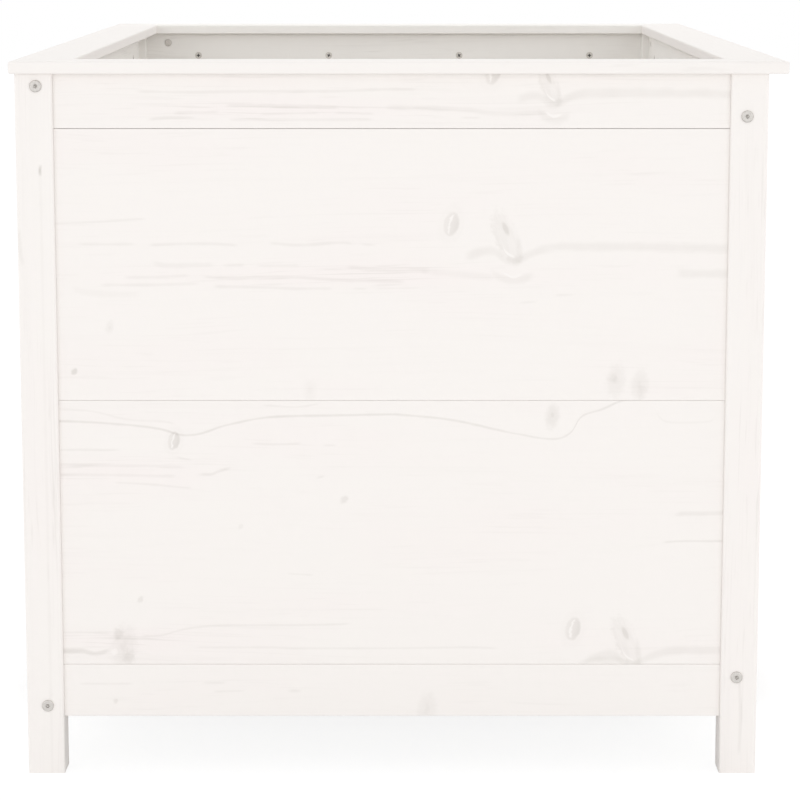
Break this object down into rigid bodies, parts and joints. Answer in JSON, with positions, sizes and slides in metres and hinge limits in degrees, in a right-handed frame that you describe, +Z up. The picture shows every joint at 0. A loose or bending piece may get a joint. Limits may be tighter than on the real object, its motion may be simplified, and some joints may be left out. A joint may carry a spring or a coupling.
{
  "type": "raised garden bed",
  "caption": "Freestanding rectangular raised garden bed: lapped board walls bolted to corner posts, with a mitred cap ring on top and a slatted floor inside.",
  "frame": {"origin": "on the ground, below the centre of the cap ring, which is the centre of the bounding box", "axes": "+Z up, +Y along the bed's length from the pictured end to the far end, +X across it to the picture's right"},
  "size_m": [0.825, 1.195, 0.78],
  "materials": {
    "painted_post": "pine with a thin white paint, satin",
    "painted_board": "pine with a thin white paint, knots and grain showing faintly, satin",
    "painted_frame": "pine with a thin white paint, satin",
    "painted_cap": "pine with a thin white paint, satin",
    "painted_floor": "pine with a thin white paint, satin",
    "zinc_bolt": "zinc-plated steel",
    "zinc_nut": "zinc-plated steel",
    "zinc_screw": "zinc-plated steel",
    "beech_dowel": "bare beech"
  },
  "bodies": {
    "root": {"back_bottom_board": "painted_board", "back_bottom_rail": "painted_frame", "back_lower_board": "painted_board", "back_stile_1": "painted_frame", "back_stile_2": "painted_frame", "back_top_board": "painted_board", "back_top_rail": "painted_frame", "back_upper_board": "painted_board", "barrel_nuts": "zinc_nut", "board_screws": "zinc_screw", "cap_back": "painted_cap", "cap_dowels": "beech_dowel", "cap_front": "painted_cap", "cap_left": "painted_cap", "cap_right": "painted_cap", "floor_cleat_left": "painted_floor", "floor_cleat_right": "painted_floor", "floor_slat_1": "painted_floor", "floor_slat_2": "painted_floor", "floor_slat_3": "painted_floor", "floor_slat_4": "painted_floor", "floor_slat_5": "painted_floor", "floor_slat_6": "painted_floor", "floor_slat_7": "painted_floor", "floor_slat_8": "painted_floor", "floor_slat_9": "painted_floor", "front_bottom_board": "painted_board", "front_bottom_rail": "painted_frame", "front_lower_board": "painted_board", "front_stile_1": "painted_frame", "front_stile_2": "painted_frame", "front_top_board": "painted_board", "front_top_rail": "painted_frame", "front_upper_board": "painted_board", "left_bottom_board": "painted_board", "left_bottom_rail": "painted_frame", "left_lower_board": "painted_board", "left_stile_1": "painted_frame", "left_stile_2": "painted_frame", "left_stile_3": "painted_frame", "left_top_board": "painted_board", "left_top_rail": "painted_frame", "left_upper_board": "painted_board", "post_back_left": "painted_post", "post_back_right": "painted_post", "post_bolts": "zinc_bolt", "post_front_left": "painted_post", "post_front_right": "painted_post", "right_bottom_board": "painted_board", "right_bottom_rail": "painted_frame", "right_lower_board": "painted_board", "right_stile_1": "painted_frame", "right_stile_2": "painted_frame", "right_stile_3": "painted_frame", "right_top_board": "painted_board", "right_top_rail": "painted_frame", "right_upper_board": "painted_board"}
  },
  "joints": []
}
